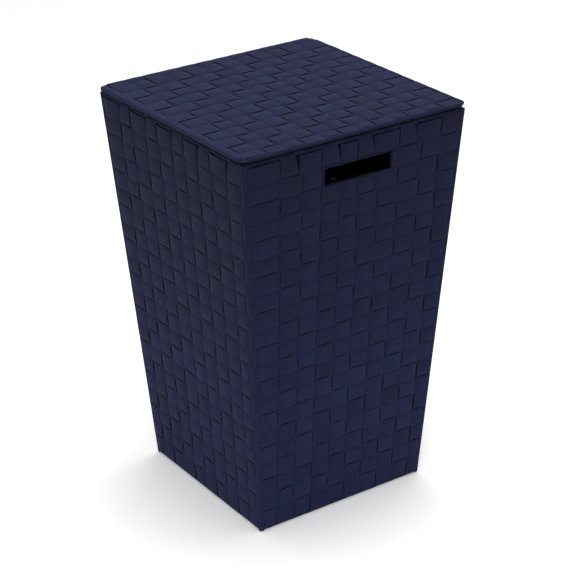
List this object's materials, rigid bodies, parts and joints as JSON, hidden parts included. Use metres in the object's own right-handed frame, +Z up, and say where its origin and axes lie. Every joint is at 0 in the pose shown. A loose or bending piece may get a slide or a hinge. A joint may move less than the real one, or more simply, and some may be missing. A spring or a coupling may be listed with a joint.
{
  "type": "woven strap laundry hamper",
  "caption": "Tapered square storage hamper woven from flat navy fabric straps over a wire frame, with a hinged woven lid and a handhold in each side.",
  "frame": {"origin": "middle of the base, on the floor", "axes": "+Z up; -Y is the front, where the lid opens; +X and -X are the sides with the handholds"},
  "size_m": [0.354, 0.354, 0.565],
  "materials": {
    "navy_strap": "matte ribbed woven strap, dark navy",
    "navy_binding": "matte ribbed binding tape, dark navy",
    "hinge_fabric": "plain tape, dark navy, stitched",
    "steel_wire": "dark powder coated steel wire, satin"
  },
  "bodies": {
    "body": {"rim_wire": "steel_wire", "base_wire": "steel_wire", "front_left_post": "steel_wire", "front_right_post": "steel_wire", "back_right_post": "steel_wire", "back_left_post": "steel_wire", "right_handle_wire": "steel_wire", "left_handle_wire": "steel_wire", "front_left_binding": "navy_binding", "front_right_binding": "navy_binding", "back_right_binding": "navy_binding", "back_left_binding": "navy_binding", "base_binding": "navy_binding", "rim_binding": "navy_binding", "right_handle_binding": "navy_binding", "left_handle_binding": "navy_binding", "front_uprights": "navy_strap", "right_uprights": "navy_strap", "back_uprights": "navy_strap", "left_uprights": "navy_strap", "base_long_straps": "navy_strap", "base_cross_straps": "navy_strap", "hoop_strap_01": "navy_strap", "hoop_strap_02": "navy_strap", "hoop_strap_03": "navy_strap", "hoop_strap_04": "navy_strap", "hoop_strap_05": "navy_strap", "hoop_strap_06": "navy_strap", "hoop_strap_07": "navy_strap", "hoop_strap_08": "navy_strap", "hoop_strap_09": "navy_strap", "hoop_strap_10": "navy_strap", "hoop_strap_11": "navy_strap", "hoop_strap_12": "navy_strap", "hoop_strap_13": "navy_strap", "hoop_strap_14": "navy_strap", "hoop_strap_15": "navy_strap", "hoop_strap_16": "navy_strap", "hoop_strap_17": "navy_strap", "hoop_strap_18": "navy_strap", "hoop_strap_19": "navy_strap", "hoop_strap_20": "navy_strap", "hoop_strap_21": "navy_strap", "hinge_tabs_lower": "hinge_fabric"},
    "lid": {"lid_wire": "steel_wire", "lid_long_straps": "navy_strap", "lid_cross_straps": "navy_strap", "lid_binding": "navy_binding", "hinge_tabs_upper": "hinge_fabric"}
  },
  "joints": [
    {"name": "lid_hinge", "type": "hinge", "parent": "body", "child": "lid", "pos_m": [0, 0.1785, 0.555], "axis": [-1, 0, 0], "range_deg": [0, 180]}
  ]
}
